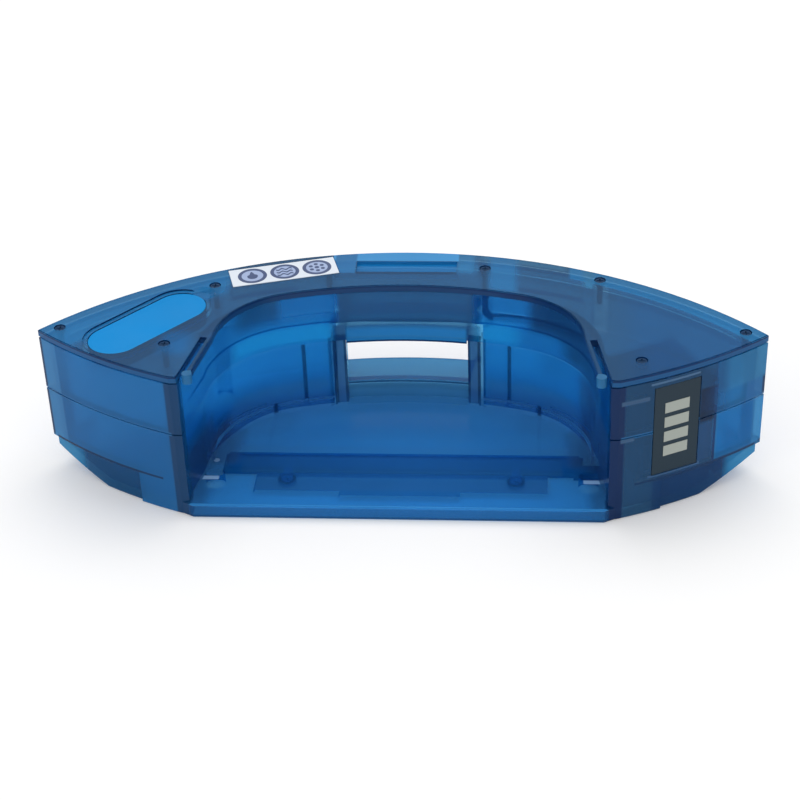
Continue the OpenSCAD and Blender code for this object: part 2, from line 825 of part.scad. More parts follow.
module feed_tube() {
  drop = port_z - bend_r - boss_top;
  color([0.8, 0.85, 0.9]) face_frame() translate([feed_s, feed_t, boss_top]) {
    tube(drop);
    translate([bend_r, 0, drop]) rotate([90, 0, 0]) mirror([1, 0, 0]) rotate_extrude(angle = 90)
      translate([bend_r, 0]) ring(tube_r, bore_r);
    translate([bend_r, 0, drop + bend_r]) rotate([0, 90, 0])
      tube(pump_s - gear_l / 2 - feed_s - bend_r);
  }
}

// Frame of the suction port, local z runs from the pump into the wet part
module suction_frame(t) {
  face_frame() translate([pump_s + suction_off, t, port_z]) rotate([-90, 0, 0]) children();
}

module suction_tube() {
  start = pump_t + gear_w / 2 + clear;
  color([0.8, 0.85, 0.9]) suction_frame(start) tube(chamber_t + rib_t + filter_out - start);
}

module inlet_filter() {
  color([0.85, 0.87, 0.9]) suction_frame(chamber_t + rib_t + filter_out) difference() {
    cylinder(h = filter_l, r = filter_r);
    translate([0, 0, 1.2]) cylinder(h = filter_l - 2.4, r = filter_r - 1.1);
    for (a = [0, 45, 90, 135]) rotate([0, 0, a]) translate([-6, -0.5, 2])
      cube([12, 1, filter_l - 4]);
  }
}

module air_tube() {
  color([0.05, 0.07, 0.12]) air_path(1.5, 0.8, 82);
}

module duct_strip() {
  color([0.12, 0.36, 0.62]) translate([0, 0, 0.2]) linear_extrude(height = strip_t)
    duct_plan(1.5 - clear);
}

module outlet_nozzles() {
  color([0.12, 0.14, 0.18]) for (side = [-1, 1]) translate([side * nozzle_x, nozzle_y, 0]) difference() {
    translate([0, 0, 0.3]) cylinder(h = 1.5, r = 3.2);
    translate([0, 0, -1]) cylinder(h = 5, r = 0.7);
  }
}

module in_place() {
  translate([0, -mid_y, 0]) children();
}

in_place() lower_body();
in_place() upper_body();
in_place() cover_plate();
in_place() cover_seal();
in_place() filler_plug();
in_place() contact_board();
in_place() contact_pads();
in_place() board_plug();
in_place() pump_leads();
in_place() label_sheet();
in_place() cover_screws();
in_place() chamber_lid();
in_place() pump();
in_place() pump_pad();
in_place() feed_tube();
in_place() suction_tube();
in_place() inlet_filter();
in_place() air_tube();
in_place() duct_strip();
in_place() outlet_nozzles();
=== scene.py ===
import math

import bmesh
import bpy
from mathutils import Matrix, Vector


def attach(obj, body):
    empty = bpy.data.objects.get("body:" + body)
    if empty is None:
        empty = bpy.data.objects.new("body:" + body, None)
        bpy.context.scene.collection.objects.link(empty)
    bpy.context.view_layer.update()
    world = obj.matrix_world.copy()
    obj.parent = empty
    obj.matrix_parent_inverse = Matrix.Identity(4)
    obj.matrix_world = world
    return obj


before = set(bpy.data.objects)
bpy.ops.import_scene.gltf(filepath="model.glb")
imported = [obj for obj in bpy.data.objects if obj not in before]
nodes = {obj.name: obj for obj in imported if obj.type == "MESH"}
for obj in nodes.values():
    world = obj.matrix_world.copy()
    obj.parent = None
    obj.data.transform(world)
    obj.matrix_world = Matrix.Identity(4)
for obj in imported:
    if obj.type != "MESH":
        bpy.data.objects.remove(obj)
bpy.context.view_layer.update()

MM = 0.001

# The part's drawing frame has the centre of the round robot at the origin. Its origin lies here in metres.
ROBOT = Vector((0.0, -0.12125, 0.0))
TANK_H = 0.0555
# Outer corner of the nose in the drawing frame, and the angle of the front face
NOSE_HALF = 74.0
NOSE_Y = 79.5
FACE_ANGLE = math.radians(30.41)


def at(x, y, z):
    """A point given in millimetres in the drawing frame of the part, as a point of the scene."""
    return ROBOT + Vector((x, y, z)) * MM


# ---------------------------------------------------------------- camera

def place_camera():
    yaw, pitch, roll = -0.08817826, 0.57734922, -0.03837429
    forward = Vector((math.sin(yaw) * math.cos(pitch), math.cos(yaw) * math.cos(pitch), -math.sin(pitch)))
    right = Vector((math.cos(yaw), -math.sin(yaw), 0.0))
    up = right.cross(forward)
    r = math.cos(roll) * right + math.sin(roll) * up
    u = -math.sin(roll) * right + math.cos(roll) * up
    data = bpy.data.cameras.new("camera")
    data.sensor_width = 36.0
    data.lens = 1900.73 * 36.0 / 800.0
    data.clip_start = 0.01
    data.clip_end = 20.0
    camera = bpy.data.objects.new("camera", data)
    camera.matrix_world = Matrix((
        (r.x, u.x, -forward.x, 0), (r.y, u.y, -forward.y, 0), (r.z, u.z, -forward.z, 0), (0, 0, 0, 1)))
    camera.location = (0.0483134, (-440.196 - 121.25) * MM, 0.3871412)
    bpy.context.scene.collection.objects.link(camera)
    bpy.context.scene.camera = camera


# ---------------------------------------------------------------- materials

def linear(rgb):
    """sRGB from 0 to 255 as linear colour."""
    out = []
    for c in rgb:
        c = c / 255.0
        out.append(c / 12.92 if c <= 0.04045 else ((c + 0.055) / 1.055) ** 2.4)
    return tuple(out)


class Nodes:
    """A material's node tree, with short calls for the nodes used here."""

    def __init__(self, name):
        self.material = bpy.data.materials.new(name)
        self.material.use_nodes = True
        self.tree = self.material.node_tree
        self.tree.nodes.clear()
        self.out = self.add("ShaderNodeOutputMaterial")
        self.measures = {}
        self.level = None

    def add(self, kind, **settings):
        node = self.tree.nodes.new(kind)
        for key, value in settings.items():
            setattr(node, key, value)
        return node

    def link(self, a, b):
        self.tree.links.new(a, b)

    def noise(self, scale, detail=3.0, rough=0.5):
        place = self.add("ShaderNodeTexCoord")
        n = self.add("ShaderNodeTexNoise")
        n.inputs["Scale"].default_value = scale
        n.inputs["Detail"].default_value = detail
        n.inputs["Roughness"].default_value = rough
        self.link(place.outputs["Object"], n.inputs["Vector"])
        return n.outputs["Fac"]

    def ramp(self, factor, stops):
        r = self.add("ShaderNodeValToRGB")
        while len(r.color_ramp.elements) < len(stops):
            r.color_ramp.elements.new(0.5)
        for element, (pos, colour) in zip(r.color_ramp.elements, stops):
            element.position = pos
            element.color = (*colour, 1.0) if len(colour) == 3 else colour
        self.link(factor, r.inputs["Fac"])
        return r.outputs["Color"]

    def spread(self, factor, low, high):
        m = self.add("ShaderNodeMapRange")
        m.inputs["From Min"].default_value = 0.3
        m.inputs["From Max"].default_value = 0.7
        m.inputs["To Min"].default_value = low
        m.inputs["To Max"].default_value = high
        self.link(factor, m.inputs["Value"])
        return m.outputs["Result"]

    def math(self, operation, a, b=None):
        node = self.add("ShaderNodeMath", operation=operation)
        for value, socket in zip((a, b), node.inputs):
            if isinstance(value, (int, float)):
                socket.default_value = value
            elif value is not None:
                self.link(value, socket)
        return node.outputs[0]

    def measure(self, name):
        """A distance in millimetres in the drawing frame, by name, see Zone."""
        if not self.measures:
            place = self.add("ShaderNodeTexCoord")
            split = self.add("ShaderNodeSeparateXYZ")
            self.link(place.outputs["Object"], split.inputs["Vector"])
            x, y, z = [self.math("MULTIPLY", self.math("SUBTRACT", socket, start), 1 / MM)
                       for socket, start in zip(split.outputs, ROBOT)]
            side = self.math("ABSOLUTE", x)
            ring = self.math("SQRT", self.math("ADD", self.math("MULTIPLY", x, x), self.math("MULTIPLY", y, y)))
            out = self.math("SUBTRACT", side, NOSE_HALF)
            back = self.math("SUBTRACT", y, NOSE_Y)
            cos, sin = math.cos(FACE_ANGLE), math.sin(FACE_ANGLE)
            along = self.math("ADD", self.math("MULTIPLY", out, cos), self.math("MULTIPLY", back, sin))
            behind = self.math("SUBTRACT", self.math("MULTIPLY", back, cos), self.math("MULTIPLY", out, sin))
            self.measures = dict(x=x, y=y, z=z, side=side, ring=ring, along=along, behind=behind)
        return self.measures[name]

    def within(self, zone):
        """1 inside the zone, 0 outside."""
        mask = None
        for name, (low, high) in zone.limits.items():
            value = self.measure(name)
            for edge, ends in ((low, (0.0, 1.0)), (high, (1.0, 0.0))):
                if edge is None:
                    continue
                m = self.add("ShaderNodeMapRange", interpolation_type="SMOOTHSTEP")
                m.inputs["From Min"].default_value = edge - zone.soft / 2
                m.inputs["From Max"].default_value = edge + zone.soft / 2
                m.inputs["To Min"].default_value, m.inputs["To Max"].default_value = ends
                self.link(value, m.inputs["Value"])
                mask = m.outputs["Result"] if mask is None else self.math("MULTIPLY", mask, m.outputs["Result"])
        if zone.near:
            x, y, reach = zone.near
            dx = self.math("SUBTRACT", self.measure("x"), x)
            dy = self.math("SUBTRACT", self.measure("y"), y)
            gap = self.math("ADD", self.math("MULTIPLY", dx, dx), self.math("MULTIPLY", dy, dy))
            inside = self.math("LESS_THAN", gap, reach * reach)
            mask = inside if mask is None else self.math("MULTIPLY", mask, inside)
        if zone.flat is not None:
            flat = self.flat()
            if not zone.flat:
                flat = self.math("SUBTRACT", 1.0, flat)
            mask = flat if mask is None else self.math("MULTIPLY", mask, flat)
        return mask

    def flat(self):
        """1 on level faces, 0 on upright ones."""
        if not self.level:
            face = self.add("ShaderNodeNewGeometry")
            split = self.add("ShaderNodeSeparateXYZ")
            self.link(face.outputs["True Normal"], split.inputs["Vector"])
            self.level = self.math("GREATER_THAN", self.math("ABSOLUTE", split.outputs["Z"]), 0.7)
        return self.level

    def mix(self, factor, a, b, kind="RGBA"):
        """a where the factor is 0, b where it is 1. Both are sockets or values."""
        m = self.add("ShaderNodeMix", data_type=kind)
        slots = [i for i in m.inputs if i.enabled]
        self.link(factor, slots[0])
        for value, socket in ((a, slots[-2]), (b, slots[-1])):
            if isinstance(value, bpy.types.NodeSocket):
                self.link(value, socket)
            else:
                socket.default_value = (*value, 1.0) if kind == "RGBA" else value
        return [o for o in m.outputs if o.enabled][0]

    def bump(self, height, distance, strength=1.0):
        b = self.add("ShaderNodeBump")
        b.inputs["Strength"].default_value = strength
        b.inputs["Distance"].default_value = distance
        self.link(height, b.inputs["Height"])
        return b.outputs["Normal"]


def shade(colour, factor):
    return tuple(max(0.0, c * factor) for c in colour)


class Zone:
    """Where the plastic looks different, such as over a dark hollow or a thick edge, or where light and shade are
    painted on it. Its limits are in
    millimetres in the drawing frame: x, y, z, side (distance from the middle plane), ring (from the centre of
    the robot), along and behind (along the front face from the nose, and into the tank). flat picks level
    faces when true and upright ones when false, and near=(x, y, reach) keeps to an upright axis."""

    def __init__(self, rgb=None, share=None, soft=1.0, tint=None, flat=None, near=None, **limits):
        self.rgb = rgb
        self.share = share
        self.soft = soft
        self.tint = tint
        self.flat = flat
        self.near = near
        self.limits = limits


def tinted(name, rgb, tint, share, rough=0.2, vary=0.1, spec=0.5, zones=()):
    """Translucent plastic. A share of the light goes straight through each face, tinted by tint, the rest
    is scattered in the plastic's own colour."""
    n = Nodes(name)
    flow = n.noise(14.0, 4.0)
    colour = linear(rgb)
    clear = tint
    for zone in zones:
        mask = n.within(zone)
        if zone.rgb:
            colour = n.mix(mask, colour, linear(zone.rgb))
        if zone.share is not None:
            share = n.mix(mask, share, zone.share, "FLOAT")
        if zone.tint:
            clear = n.mix(mask, clear, zone.tint)
    p = n.add("ShaderNodeBsdfPrincipled")
    if not isinstance(colour, bpy.types.NodeSocket):
        n.link(n.ramp(flow, [(0.3, shade(colour, 1 - vary)), (0.7, shade(colour, 1 + vary))]), p.inputs["Base Color"])
    else:
        tone = n.add("ShaderNodeHueSaturation")
        n.link(n.spread(flow, 1 - vary, 1 + vary), tone.inputs["Value"])
        n.link(colour, tone.inputs["Color"])
        n.link(tone.outputs["Color"], p.inputs["Base Color"])
    n.link(n.spread(n.noise(60.0, 3.0), rough * 0.8, rough * 1.2), p.inputs["Roughness"])
    n.link(n.bump(n.noise(120.0, 2.0), 0.00002), p.inputs["Normal"])
    p.inputs["IOR"].default_value = 1.5
    p.inputs["Specular IOR Level"].default_value = spec
    t = n.add("ShaderNodeBsdfTransparent")
    m = n.add("ShaderNodeMixShader")
    for value, socket in ((clear, t.inputs["Color"]), (share, m.inputs["Fac"])):
        if isinstance(value, bpy.types.NodeSocket):
            n.link(value, socket)
        else:
            socket.default_value = (*value, 1.0) if value is clear else value
    n.link(p.outputs["BSDF"], m.inputs[1])
    n.link(t.outputs["BSDF"], m.inputs[2])
    n.link(m.outputs["Shader"], n.out.inputs["Surface"])
    return n.material


def plastic(name, rgb, rough=0.25, grain=0.0, vary=0.08, spec=0.5):
    """Opaque moulded plastic, rubber or metal with faint marks."""
    n = Nodes(name)
    base = linear(rgb)
    p = n.add("ShaderNodeBsdfPrincipled")
    flow = n.noise(14.0, 4.0)
    n.link(n.ramp(flow, [(0.3, shade(base, 1 - vary)), (0.7, shade(base, 1 + vary))]), p.inputs["Base Color"])
    n.link(n.spread(n.noise(60.0, 3.0), rough * 0.85, rough * 1.15), p.inputs["Roughness"])
    p.inputs["IOR"].default_value = 1.5
    p.inputs["Specular IOR Level"].default_value = spec
    if grain:
        n.link(n.bump(n.noise(900.0, 2.0), grain), p.inputs["Normal"])
    n.link(p.outputs["BSDF"], n.out.inputs["Surface"])
    return n.material


def give(node, material):
    """Puts one material on a CAD node."""
    data = nodes[node].data
    if not data.materials:
        data.materials.append(material)
    for i in range(len(data.materials)):
        data.materials[i] = material


BLUE_TINT = (0.40, 0.74, 0.92)
SMOKE_TINT = (0.45, 0.64, 0.77)

# The joint between the two bodies is bonded, so its hidden level faces are clear.
JOINT = Zone(share=0.97, tint=(0.97, 0.98, 1.0), soft=0.1, flat=True, z=(31.9, 32.7))

# Screw posts hardly show in the photo.
POSTS = [Zone(share=0.94, tint=(0.9, 0.95, 0.98), soft=0.2, z=(foot, 52.5), near=(x, y, 3.2))
         for x, y, foot in ((81.3, 92.3, 6), (-78.7, 100.6, 6), (-67.2, 140.2, 12.5), (116.6, 110.4, 15),
                            (-116.6, 110.4, 15), (68.7, 145.3, 15), (28.1, 153.4, 15), (-28.1, 153.4, 15))]

# Both bodies, front faces, painted for light and shade: the left one lighter, as it is seen against the light, the
# right one darker, in the shade of the dry chamber behind it. The ends of the nose and the outer edge get painted
# dark lines of shade, and the seam is painted lighter to soften its shade.
FACES = [
    Zone((41, 120, 185), 0.42, 2.0, x=(None, -70), behind=(None, 3.4), along=(1, None)),
    Zone((38, 84, 126), 0.35, 2.0, x=(70, None), behind=(None, 3.4), along=(1, 37)),
    Zone((38, 121, 182), 0.45, 1.0, x=(70, None), behind=(None, 3.4), along=(37, None)),
    Zone((48, 126, 186), 0.2, 1.0, x=(None, -117.5)),
    Zone((32, 106, 168), 0.2, 1.0, x=(117.5, None)),
    Zone((16, 64, 108), 0.05, 1.0, x=(-76, -70.5), y=(None, 84.5), behind=(None, 5)),
    Zone((2, 41, 88), 0.05, 1.0, x=(70.5, 76), y=(None, 84.5), behind=(None, 5)),
    Zone((24, 58, 98), 0.1, 0.4, side=(123.1, None)),
    Zone((50, 118, 176), 0.3, 0.4, z=(31.7, 32.9), behind=(None, 4), along=(1, None)),
]

LOWER_ZONES = [
    JOINT,
    # wall of the arms beside the mouth of the bay, darker with painted shade
    Zone((30, 68, 118), 0.3, 6.0, side=(65, 78), y=(None, 110), z=(4, 23)),
    Zone((44, 78, 130), 0.25, 5.0, side=(57, 70), y=(102, 124), z=(4, 13)),
    Zone((38, 82, 138), 0.4, 6.0, x=(56, 78), y=(None, 122), z=(12, 32)),
    # the bay wall has painted light above, where it is lit from behind, and painted shade at its foot
    Zone((26, 150, 250), 0.78, 8.0, (0.42, 0.79, 0.96), False, x=(-66, -28), ring=(118, 146), z=(22, None)),
    Zone((26, 150, 250), 0.78, 8.0, (0.42, 0.79, 0.96), False, x=(28, 48), ring=(118, 146), z=(22, None)),
    Zone((56, 122, 188), 0.6, 4.0, side=(28.4, 62), ring=(118, 146), z=(6, 17)),
] + FACES + [
    # wet part right of the chamber
    Zone((30, 122, 191), 0.5, 0.6, x=(70, None), behind=(None, 3.4), along=(38, None), z=(14, 31.5)),
    # dark block and paler strip between board and chamber wall
    Zone((20, 42, 70), 0.2, 1.0, x=(70, None), behind=(None, 3.4), along=(30.2, 36.6), z=(30.5, 45)),
    Zone((40, 82, 126), 0.3, 1.0, x=(70, None), behind=(None, 3.4), along=(30.2, 35.4), z=(15, 30)),
    Zone((20, 50, 94), 0.15, 0.4, x=(70, None), behind=(None, 3.4), along=(36.2, 37.2), z=(13.5, 45)),
    # foot of the faces, below the line of the rebate: painted shade on the set-back face and a painted dark line of
    # shade under the step
    Zone((18, 86, 138), 0.35, 1.0, x=(None, -70), behind=(None, 4), along=(16.5, None), z=(None, 12.3)),
    Zone((12, 62, 112), 0.25, 1.0, x=(70, None), behind=(None, 4), along=(13, None), z=(None, 13.5)),
    Zone((40, 136, 190), 0.4, 4.0, side=(112, None), z=(None, 12.3)),
    Zone((16, 52, 90), 0.1, 0.4, side=(80, 122), behind=(None, 4), z=(12.3, 13.2)),
    # painted highlight along the nose rib
    Zone((66, 100, 138), 0.2, 0.6, x=(70, None), behind=(None, 3.4), along=(0.8, 5.6), z=(30.6, 32.0)),
    # stepped frame beside the window, with painted shade in dark lines at its steps
    Zone((44, 92, 156), 0.15, 0.4, side=(22, 26.3), ring=(141, 147), z=(5.2, 33)),
    Zone((14, 48, 100), 0.1, 0.3, side=(21.6, 22.9), ring=(141, 147), z=(5.2, 33)),
    Zone((14, 48, 100), 0.1, 0.3, side=(25.5, 26.7), ring=(141, 147), z=(5.2, 33)),
    Zone((18, 92, 162), 0.5, 0.3, side=(26.7, 28.4), ring=(141, 150), z=(5.2, 33)),
    # sill, ridge and the recess in front of it: a painted highlight on the top of the ridge and painted shade on the
    # face below it
    Zone((30, 122, 178), 0.35, 0.6, side=(None, 26), ring=(149.4, 166), z=(10, 12.6)),
    Zone((26, 124, 186), 0.2, 0.4, side=(None, 22.4), ring=(146.9, 150), z=(11.9, 12.6)),
    Zone((16, 70, 122), 0.1, 0.3, side=(None, 22.4), ring=(146.6, 148), z=(11.1, 11.9)),
    Zone((36, 102, 154), 0.25, 0.5, side=(None, 22.4), ring=(146.6, 148), z=(5.2, 10.9)),
    Zone((54, 126, 182), 0.25, 2.0, side=(None, 22.4), ring=(146.6, 148), z=(5.2, 8.6)),
    Zone((56, 134, 198), 0.3, 0.3, side=(None, 22.4), ring=(142.8, 147), z=(4.5, 5.2)),
    Zone((36, 146, 236), 0.54, 12.0, side=(None, 44), ring=(126, 144), z=(4.5, 5.2)),
    Zone((48, 118, 190), 0.74, 1.0, side=(None, 52), y=(87, 97), z=(4.5, 5.2), flat=True),
    Zone((58, 136, 206), 0.74, 1.0, side=(None, 56), y=(97, 107.5), z=(4.5, 5.2), flat=True),
    Zone((36, 78, 136), 0.74, 2.0, side=(None, 58), y=(107.5, 113.5), z=(4.5, 5.2), flat=True),
    Zone((20, 84, 138), 0.5, 6.0, side=(40, 60), ring=(130, 146), z=(4.5, 5.2), flat=True),
    # upright lines: painted shade in the grooves
    Zone((14, 56, 116), 0.3, 0.3, side=(36.3, 37.7), ring=(142, 144.2), z=(8.6, 32)),
    # bead at the foot of the bay wall: a painted highlight along its top, with a dark mark on each side
    Zone((56, 122, 186), 0.3, 0.3, side=(26.7, 66), ring=(118, 144.5), z=(8.3, 9.0)),
    Zone((14, 54, 108), 0.2, 0.6, side=(47.2, 48.6), ring=(118, 144.5), z=(5.2, 9.5)),
    # painted highlight on the ledge below the board
    Zone((66, 102, 144), 0.25, 0.4, x=(70, None), behind=(None, 3.4), along=(11, 31), z=(14.0, 14.9)),
    # pocket of the pad bracket and groove under the floor
    Zone((54, 102, 158), 0.3, 0.3, side=(None, 51.2), y=(87, 102), z=(1.4, 2.2), flat=True),
    # lip: a painted highlight on the line along its top and a painted dark line of shade at its lower edge
    Zone((56, 140, 206), 0.2, 0.3, side=(None, 72), y=(None, 78.3), z=(4.5, None)),
    Zone((18, 88, 150), 0.4, 0.6, side=(None, 72), y=(None, 78.3), z=(None, 4.2), flat=False),
    Zone((16, 62, 108), 0.2, 0.6, side=(None, 72), y=(None, 78.3), z=(None, 0.8), flat=False),
    # painted shade on the floor round the holes under the snap arms, and painted glints at and beside them
    Zone((30, 62, 106), 0.3, 4.0, side=(60, 74), y=(95, 118), z=(4.5, 5.2), flat=True),
    Zone((150, 192, 232), 0.1, 0.6, side=(63.2, 69.8), y=(92.6, 94.8), z=(4.5, 5.2), flat=True),
    Zone((126, 160, 196), 0.1, z=(4.5, 5.2), near=(-65.5, 104.3, 1.1)),
    Zone((126, 160, 196), 0.1, z=(4.5, 7), near=(-69.2, 107.5, 1.0)),
    # rear half of the post near the label, where it meets the sloped bottom
    Zone(share=0.94, tint=(0.9, 0.95, 0.98), soft=0.2, y=(140.2, None), z=(9.2, 13), near=(-67.2, 140.2, 3.2)),
] + POSTS[:3]

UPPER_ZONES = [JOINT] + FACES + [
    Zone((43, 122, 175), 0.3, 2.0, x=(70, None), behind=(None, 3.4), along=(37, None), z=(40, None)),
    Zone((20, 42, 70), 0.2, 1.0, x=(70, None), behind=(None, 3.4), along=(30.2, 36.6), z=(30.5, 44)),
    Zone((20, 50, 94), 0.15, 0.4, x=(70, None), behind=(None, 3.4), along=(36.2, 37.2), z=(30, 44)),
    # painted highlight along the nose rib
    Zone((66, 100, 138), 0.2, 0.6, x=(70, None), behind=(None, 3.4), along=(0.8, 10.8), z=(45.2, 46.8)),
    # painted highlight on the ledge over the board
    Zone((84, 120, 156), 0.2, 0.4, x=(70, None), behind=(None, 3.4), along=(11, 29.5), z=(50.7, 51.5)),
    # wall above the window: a painted highlight in a thin line and painted shade along its foot
    Zone((44, 146, 218), 0.2, 1.5, side=(None, 24.4), ring=(138, 147), z=(None, 40)),
    Zone((47, 105, 158), 0.3, 3.0, side=(None, 24.4), ring=(138, 147), z=(37.4, None)),
    Zone((54, 146, 212), 0.2, 0.3, side=(None, 21.5), ring=(138, 147), z=(33.0, 33.7)),
    Zone((12, 58, 110), 0.1, 0.3, side=(None, 26.5), ring=(138, 147), z=(None, 31.9)),
    Zone((20, 72, 134), 0.25, 1.4, side=(21.6, 26.4), ring=(138, 166), z=(None, 39)),
    # bay wall above the joint: painted light beside the window, where it is lit from behind, painted shade in the
    # right corner
    Zone((24, 178, 255), 0.8, 4.0, (0.40, 0.84, 1.0), False, x=(-60, -27), ring=(118, 147), z=(None, 40)),
    Zone((24, 178, 255), 0.8, 8.0, (0.40, 0.84, 1.0), False, x=(26, 40), ring=(118, 147), z=(None, 41)),
    Zone((30, 80, 134), 0.4, 8.0, flat=False, x=(56, None), ring=(118, 147), y=(96, None), z=(None, 42)),
    Zone((34, 80, 134), 0.45, 8.0, x=(-59, -43), ring=(118, 147), z=(43.5, None)),
    # painted shade in the corner of the bay under the cover at the right
    Zone((26, 70, 124), 0.3, 6.0, x=(44, None), ring=(118, 147), y=(96, None), z=(40, None)),
    Zone((30, 132, 214), 0.5, 4.0, x=(-44, -24.5), ring=(138, 147), z=(44, None)),
] + POSTS[3:]

COVER_ZONES = [
    # the rib and neck under the plate hardly show
    Zone(share=0.93, tint=(0.85, 0.92, 0.96), soft=0.2, z=(None, 52.9)),
    Zone((30, 98, 160), 0.5, 14.0, x=(78, None), ring=(100, 157), z=(52.9, None)),
    Zone((38, 138, 202), 0.5, 1.6, x=(58, None), ring=(157.2, None), z=(52.9, None)),
    Zone((58, 126, 172), 0.5, 3.0, x=(26, 57), ring=(161.4, None), z=(52.9, None)),
    Zone((34, 132, 198), 0.5, 5.0, x=(None, -62), ring=(148, None), z=(52.9, None)),
    Zone((54, 138, 196), 0.5, 4.0, x=(17.5, 24.5), ring=(151, None), z=(52.9, None)),
    Zone((42, 130, 192), 0.5, 4.0, x=(29.5, 39.5), ring=(142, None), z=(52.9, None)),
    Zone((58, 140, 190), 0.5, 3.0, x=(63, 66.5), ring=(154, None), z=(52.9, None)),
    Zone((60, 152, 216), 0.2, 0.7, x=(-27, 18.5), y=(158.3, None), z=(52.9, None)),
    Zone((36, 120, 182), 0.3, 1.0, x=(-26, -18.3), y=(149.5, None), ring=(150, None), z=(52.9, None)),
    Zone((8, 122, 192), 0.3, 0.6, side=(None, 18.4), y=(150, 158.2), z=(52.9, 54.7)),
    Zone((30, 116, 182), 0.5, 6.0, x=(-80, -70), y=(94, 108), z=(52.9, None)),
    # upright faces, painted shade: a dark line at the top, darker round the bay
    Zone((34, 92, 146), 0.15, 0.2, flat=False, z=(52.9, None)),
    Zone((34, 74, 122), 0.2, 0.5, flat=False, ring=(None, 144), behind=(3, None), side=(None, 70), z=(52.9, None)),
    Zone((20, 54, 104), 0.1, 6.0, flat=False, x=(34, 70), ring=(None, 144), behind=(3, None), z=(52.9, None)),
    Zone((14, 48, 96), 0.1, 0.2, flat=False, z=(54.6, None)),
    Zone((36, 134, 200), 0.2, 0.2, flat=False, side=(None, 18.4), y=(157, 159), z=(52.9, None)),
    # painted highlight at the end of each snap arm
    Zone((58, 128, 178), 0.4, 0.6, side=(66, 70.5), y=(None, 83.6), z=(51, None), along=(None, 0.4)),
]


# The air tube shows as a dark line along its upper edge.
AIR_ZONES = [
    Zone((10, 42, 92), 0.1, 0.3, x=(29, None), z=(41.2, 43)),
    Zone((10, 42, 92), 0.1, 0.3, x=(27.3, 28.5), z=(42, None)),
]
# The level faces of the pump are painted pale, a painted light standing in for the light the top plate scatters over
# them, so they hardly show through the top plate.
PUMP_TOP_PAINTED_PALE = [Zone((72, 104, 134), flat=True)]


def dress_cad():
    give("lower_body", tinted("tank_plastic", (20, 118, 204), BLUE_TINT, 0.74, spec=0.22, zones=LOWER_ZONES))
    give("upper_body", tinted("tank_plastic_upper", (22, 116, 202), BLUE_TINT, 0.74, spec=0.22, zones=UPPER_ZONES))
    give("cover_plate", tinted("cover_plastic", (44, 96, 142), SMOKE_TINT, 0.5, spec=0.18, zones=COVER_ZONES))
    give("cover_seal", tinted("seal_silicone", (34, 118, 184), BLUE_TINT, 0.6, rough=0.45))
    give("filler_plug", plastic("stopper_silicone", (0, 138, 211), rough=0.5, grain=0.00002, spec=0.1))
    give("contact_board", plastic("board_mask", (36, 54, 67), rough=0.4, grain=0.00002, spec=0.2))
    give("contact_pads", plastic("pad_metal", (165, 172, 165), rough=0.35))
    give("board_plug", plastic("plug_plastic", (215, 212, 198), rough=0.4))
    give("pump_leads", plastic("lead_cover", (140, 30, 30), rough=0.5))
    give("label_sheet", plastic("label_paper", (222, 230, 240), rough=0.6, vary=0.02))
    give("cover_screws", plastic("screw_metal", (22, 56, 92), rough=0.6, spec=0.15))
    give("chamber_lid", tinted("lid_plastic", (40, 85, 130), (0.8, 0.88, 0.92), 0.93, rough=0.3))
    give("pump", tinted("pump_housing", (28, 32, 38), SMOKE_TINT, 0.0, rough=0.45, zones=PUMP_TOP_PAINTED_PALE))
    give("pump_pad", plastic("pad_foam", (45, 48, 52), rough=0.9))
    give("feed_tube", tinted("tube_silicone", (205, 218, 228), (0.75, 0.82, 0.88), 0.4, rough=0.4))
    give("suction_tube", tinted("suction_silicone", (205, 218, 228), (0.75, 0.82, 0.88), 0.4, rough=0.4))
    give("inlet_filter", plastic("filter_plastic", (215, 222, 230), rough=0.45))
    give("air_tube", tinted("air_rubber", (20, 96, 170), (0.96, 0.98, 1.0), 0.95, zones=AIR_ZONES))
    give("duct_strip", tinted("strip_plastic", (40, 86, 144), BLUE_TINT, 0.5, rough=0.3))
    give("outlet_nozzles", plastic("nozzle_rubber", (38, 88, 146), rough=0.6, spec=0.2))


# ---------------------------------------------------------------- pieces

def piece(name, build, material, place=Matrix.Identity(4)):
    """A new piece made by build(bmesh) in millimetres, set at place, riding on the tank."""
    b = bmesh.new()
    build(b)
    bmesh.ops.transform(b, matrix=place @ Matrix.Scale(MM, 4), verts=b.verts)
    bmesh.ops.recalc_face_normals(b, faces=b.faces)
    mesh = bpy.data.meshes.new(name)
    b.to_mesh(mesh)
    b.free()
    ob = bpy.data.objects.new(name, mesh)
    bpy.context.scene.collection.objects.link(ob)
    mesh.materials.append(material)
    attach(ob, "root")
    return ob


def raise_outline(b, points, low, high):
    """A closed outline of (x, y) points as a plate from low to high."""
    face = b.faces.new([b.verts.new((x, y, low)) for x, y in points])
    raised = bmesh.ops.extrude_face_region(b, geom=[face])["geom"]
    tops = [v for v in raised if isinstance(v, bmesh.types.BMVert)]
    bmesh.ops.translate(b, vec=(0, 0, high - low), verts=tops)


def circle_points(radius, count=40, centre=(0.0, 0.0)):
    turn = 2 * math.pi / count
    return [(centre[0] + radius * math.cos(i * turn), centre[1] + radius * math.sin(i * turn)) for i in range(count)]


def ring_plate(b, outer, inner, low, high, count=48):
    """A flat ring with upright sides."""
    rows = [[b.verts.new((x, y, z)) for x, y in circle_points(r, count)]
            for r, z in ((outer, low), (outer, high), (inner, high), (inner, low))]
    for k in range(4):
        a, c = rows[k], rows[(k + 1) % 4]
        for i in range(count):
            j = (i + 1) % count
            b.faces.new((a[i], a[j], c[j], c[i]))


